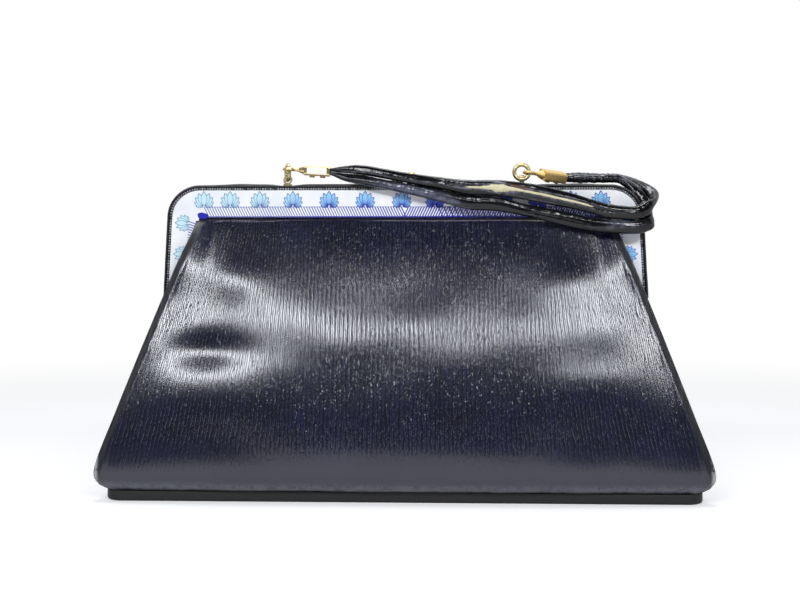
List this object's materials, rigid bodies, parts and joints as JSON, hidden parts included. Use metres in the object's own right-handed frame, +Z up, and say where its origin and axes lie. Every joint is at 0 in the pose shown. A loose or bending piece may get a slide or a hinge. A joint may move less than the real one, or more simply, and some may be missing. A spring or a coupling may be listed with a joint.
{
  "type": "frame handbag",
  "caption": "Leather frame handbag with two hinged half-frames, printed plates, a ribbed leather body on a stiff base and a soft twin-roll handle on ring posts.",
  "frame": {"origin": "middle of the base, on the surface that the bag stands on", "axes": "+Z up, +X to the viewer's right along the frame, -Y towards the viewer of the front panel"},
  "size_m": [0.3068, 0.083, 0.1694],
  "materials": {
    "ribbed_leather": "glossy navy leather with an embossed upright rib",
    "plain_leather": "smooth dark navy leather, semi-gloss",
    "piping_leather": "glossy dark leather piping",
    "handle_leather": "glossy black-navy leather, worn on its ridges",
    "white_enamel": "glossy white printed plate",
    "leaf_blue": "glossy light blue print",
    "cobalt_blue": "glossy cobalt blue print",
    "gilt_metal": "polished gold-coloured metal with slight tarnish",
    "worn_gilt": "dull, worn gold-coloured metal",
    "lining_cloth": "matt woven lining cloth",
    "core_cloth": "pale cream padding cloth",
    "board": "grey-brown pressed board"
  },
  "bodies": {
    "bag": {"base_panel": "plain_leather", "base_board": "board", "front_panel": "ribbed_leather", "back_panel": "ribbed_leather", "left_gusset": "ribbed_leather", "right_gusset": "ribbed_leather", "front_lining": "lining_cloth", "back_lining": "lining_cloth", "left_hinge_rivet": "gilt_metal", "right_hinge_rivet": "gilt_metal"},
    "front_half": {"front_channel": "gilt_metal", "front_hinge_ears": "gilt_metal", "front_cover": "plain_leather", "front_piping": "piping_leather", "front_plate": "white_enamel", "front_leaves": "leaf_blue", "front_hatch": "cobalt_blue", "front_clasp": "gilt_metal", "left_ring_post": "gilt_metal", "right_ring_post": "gilt_metal", "upper_roll": "handle_leather", "lower_roll": "handle_leather", "handle_core": "core_cloth"},
    "back_half": {"back_channel": "gilt_metal", "back_hinge_ears": "gilt_metal", "back_cover": "plain_leather", "back_piping": "piping_leather", "back_plate": "white_enamel", "back_leaves": "leaf_blue", "back_hatch": "cobalt_blue", "back_clasp": "gilt_metal"},
    "left_ring": {"left_ring": "gilt_metal"},
    "left_link": {"left_hook": "gilt_metal", "left_clamp": "gilt_metal", "left_clamp_rivets": "gilt_metal"},
    "right_ring": {"right_ring": "gilt_metal"},
    "right_link": {"right_hook": "gilt_metal", "right_clamp": "worn_gilt", "right_clamp_rivets": "worn_gilt"}
  },
  "joints": [
    {"name": "front_half_open", "type": "hinge", "parent": "bag", "child": "front_half", "pos_m": [0, 0, 0.096], "axis": [1, 0, 0], "range_deg": [0, 35], "deforming": ["front_panel", "front_lining", "left_gusset", "right_gusset"]},
    {"name": "back_half_open", "type": "hinge", "parent": "bag", "child": "back_half", "pos_m": [0, 0, 0.096], "axis": [-1, 0, 0], "range_deg": [0, 35], "deforming": ["back_panel", "back_lining", "left_gusset", "right_gusset"]},
    {"name": "left_ring_lean", "type": "hinge", "parent": "front_half", "child": "left_ring", "pos_m": [-0.06, -0.003, 0.16085], "axis": [0.309, -0.9511, 0], "range_deg": [0, 60], "deforming": ["upper_roll", "lower_roll", "handle_core"]},
    {"name": "left_link_swing", "type": "hinge", "parent": "left_ring", "child": "left_link", "pos_m": [-0.05894, -0.00626, 0.16613], "axis": [0.061, 0, 0.9981], "range_deg": [-20, 20], "deforming": ["upper_roll", "lower_roll", "handle_core"]},
    {"name": "right_ring_lean", "type": "hinge", "parent": "front_half", "child": "right_ring", "pos_m": [0.06, -0.003, 0.16085], "axis": [1, 0, 0], "range_deg": [0, 35], "deforming": ["upper_roll", "lower_roll", "handle_core"]},
    {"name": "right_link_swing", "type": "hinge", "parent": "right_ring", "child": "right_link", "pos_m": [0.06373, -0.003, 0.16421], "axis": [0.0755, 0.0436, 0.9962], "range_deg": [-15, 15], "deforming": ["upper_roll", "lower_roll", "handle_core"]}
  ]
}
